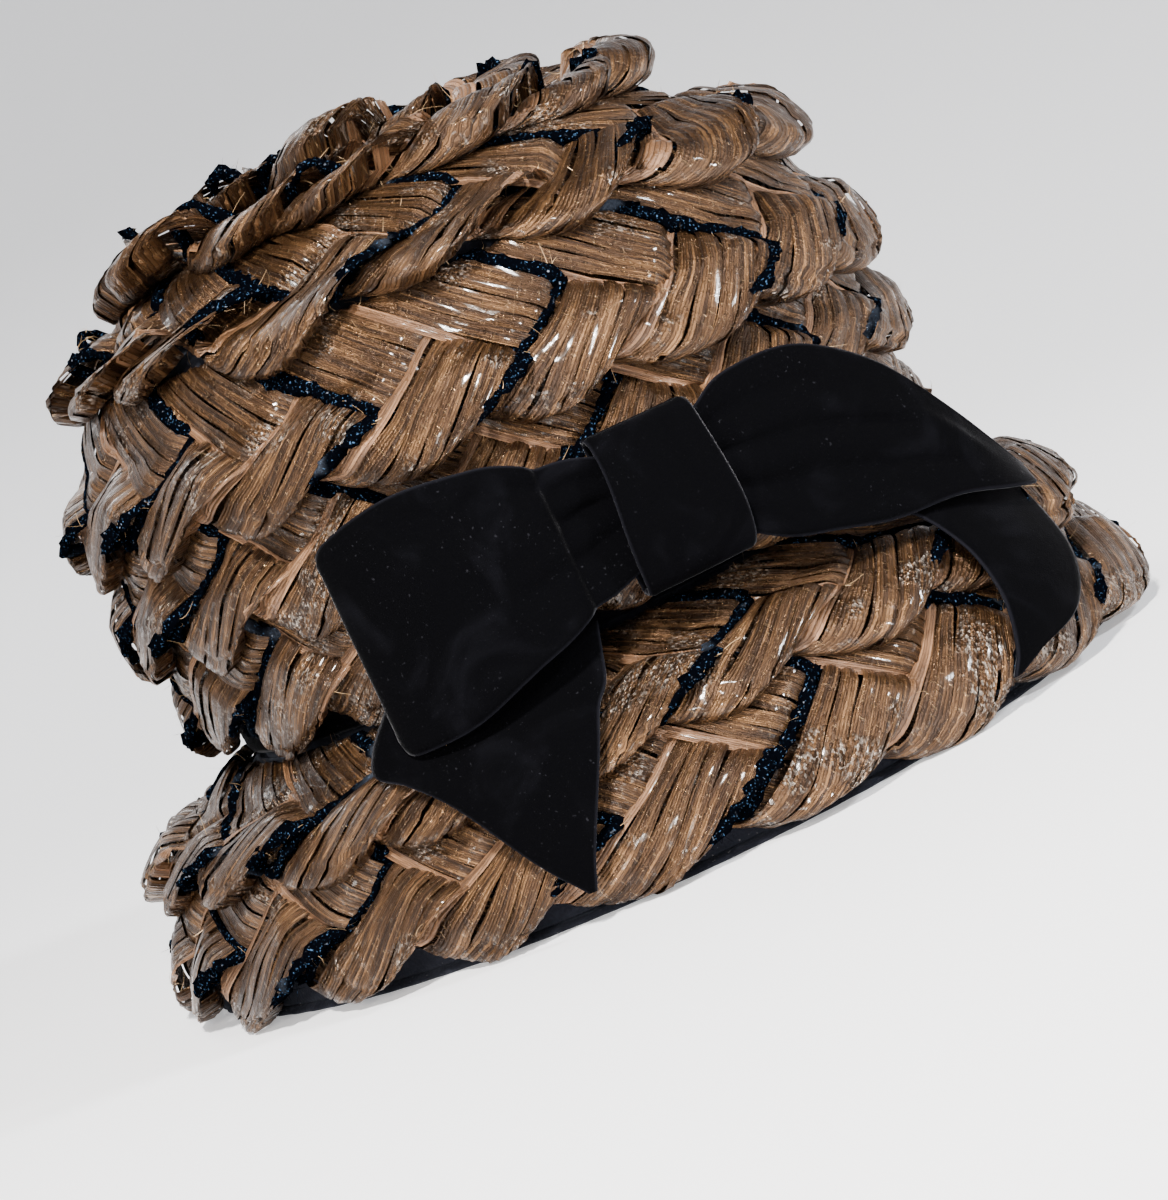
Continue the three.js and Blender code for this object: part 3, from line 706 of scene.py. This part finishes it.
def tail_grid(stations, steps, cols, sag):
    """A pointed ribbon end through [angle, reach, radius, z, fall] stations, in degrees and millimetres."""
    line = smooth_line(stations, steps)
    t = np.linspace(0, 1, cols)[None, :]
    angle, reach, radius, z, fall = (line[:, k : k + 1] for k in range(5))
    share = np.linspace(0, 1, len(line))[:, None]
    out = radius + sag * np.sin(t * math.pi) * (1 - share) + 0.8 * np.sin(share * 9 + t * 3) * (1 - share)
    return around(np.radians(angle + reach * t), out * MM, (z - fall * t) * MM)


back_tail = [
    [-64, 28, 114.6, 61.5, 0], [-66, 29, 118.8, 55, 0], [-66, 28, 123.8, 49.2, 0],
    [-61.5, 21.8, 129.2, 45, 0], [-56.4, 15, 135.4, 36.5, 0], [-50.8, 5.7, 140.4, 18.5, 0],
    [-47.6, 0.8, 141, 8.5, 0]]
front_tail = [
    [1, 20, 122.5, 54.5, 5], [2, 20, 128.6, 49.5, 6.3], [3.2, 16.5, 136, 38, 12],
    [2.6, 10, 140.6, 26, 12], [1.2, 3.4, 140.8, 14, 3.5], [-0.6, 0.8, 141, 8, 0]]
tail_back = velvet_sheet("bow_tail_back_velvet", tail_grid(back_tail, 12, 24, 1.6), "bow_tail_back")
tail_front = velvet_sheet("bow_tail_front_velvet", tail_grid(front_tail, 12, 20, 1.2), "bow_tail_front")

# ---------------------------------------------------------------------------
# The view: the hat on a pale floor that sweeps up all round it and glows a little (painted light that fills
# the hat from below), in soft studio light
# ---------------------------------------------------------------------------
VIEW_DISTANCE, VIEW_ANGLE, VIEW_RISE, VIEW_ROLL = 0.9, math.radians(-37), math.radians(4), math.radians(25)
AIM = Vector((0, 0, 80 * MM))
back = Vector((math.sin(VIEW_ANGLE) * math.cos(VIEW_RISE), -math.cos(VIEW_ANGLE) * math.cos(VIEW_RISE),
               math.sin(VIEW_RISE)))
right = Vector((math.cos(VIEW_ANGLE), math.sin(VIEW_ANGLE), 0))
up = back.cross(right)
rolled_right = right * math.cos(VIEW_ROLL) - up * math.sin(VIEW_ROLL)
rolled_up = right * math.sin(VIEW_ROLL) + up * math.cos(VIEW_ROLL)
camera_data = bpy.data.cameras.new("camera")
camera = bpy.data.objects.new("camera", camera_data)
bpy.context.scene.collection.objects.link(camera)
camera.matrix_world = Matrix.Translation(AIM + back * VIEW_DISTANCE) @ Matrix(
    (rolled_right, rolled_up, back)).transposed().to_4x4()
camera_data.sensor_fit = "HORIZONTAL"
camera_data.sensor_width = 36
camera_data.lens = 104.024
camera_data.shift_x = 0.0428
camera_data.shift_y = -0.0651
bpy.context.scene.camera = camera

reach = np.concatenate([[0, 0.3], np.linspace(0.6, 5.0, 45)])
sweep = np.stack([reach, np.maximum(reach - 0.6, 0) ** 2 / 7], 1)
turns = np.linspace(0, 2 * math.pi, 96, endpoint=False)[:, None]
out, height = sweep[None, :, 0], sweep[None, :, 1]
points = np.stack(np.broadcast_arrays(out * np.cos(turns), out * np.sin(turns), height), -1)
# painted light: the floor glows with its own pale colour, though it is no lamp
glowing_paper, tree, shader = new_material("glowing_pale_paper", Roughness=0.8, Emission_Strength=0.46)
place = put(tree, "TexCoord")["Object"]
grain = put(tree, "TexNoise", {"Vector": place, "Scale": 300.0, "Detail": 2.0})[0]
pale = between(tree, grain, (0.86, 0.86, 0.88, 1), (0.90, 0.90, 0.91, 1))
tree.links.new(pale, shader.inputs["Base Color"])
tree.links.new(pale, shader.inputs["Emission Color"])
floor = add_mesh("floor", points.reshape(-1, 3), grid_faces(96, len(sweep), close_rows=True), [glowing_paper])

world = bpy.data.worlds.new("studio")
bpy.context.scene.world = world
world.use_nodes = True
world.node_tree.nodes["Background"].inputs["Color"].default_value = (0.86, 0.9, 1.0, 1)
world.node_tree.nodes["Background"].inputs["Strength"].default_value = 0.2


def area_light(name, place, aim, size, watts, colour):
    data = bpy.data.lights.new(name, "AREA")
    data.size, data.energy, data.color = size, watts, colour
    light = bpy.data.objects.new(name, data)
    light.location = place
    light.rotation_euler = (Vector(aim) - Vector(place)).to_track_quat("-Z", "Y").to_euler()
    bpy.context.scene.collection.objects.link(light)


area_light("key", (-0.75, -0.9, 1.15), (0, 0, 0.1), 0.16, 74, (1, 0.97, 0.93))
area_light("window", (0.5, -1.3, 0.9), (0, 0, 0.1), 0.16, 30, (0.94, 0.97, 1))
area_light("low_left", (-1.1, -0.7, 0.45), (0, 0, 0.08), 0.2, 11, (1, 0.96, 0.9))
area_light("behind", (0.2, 1.3, 1.2), (0, 0, 0.1), 0.8, 14, (1, 1, 1))
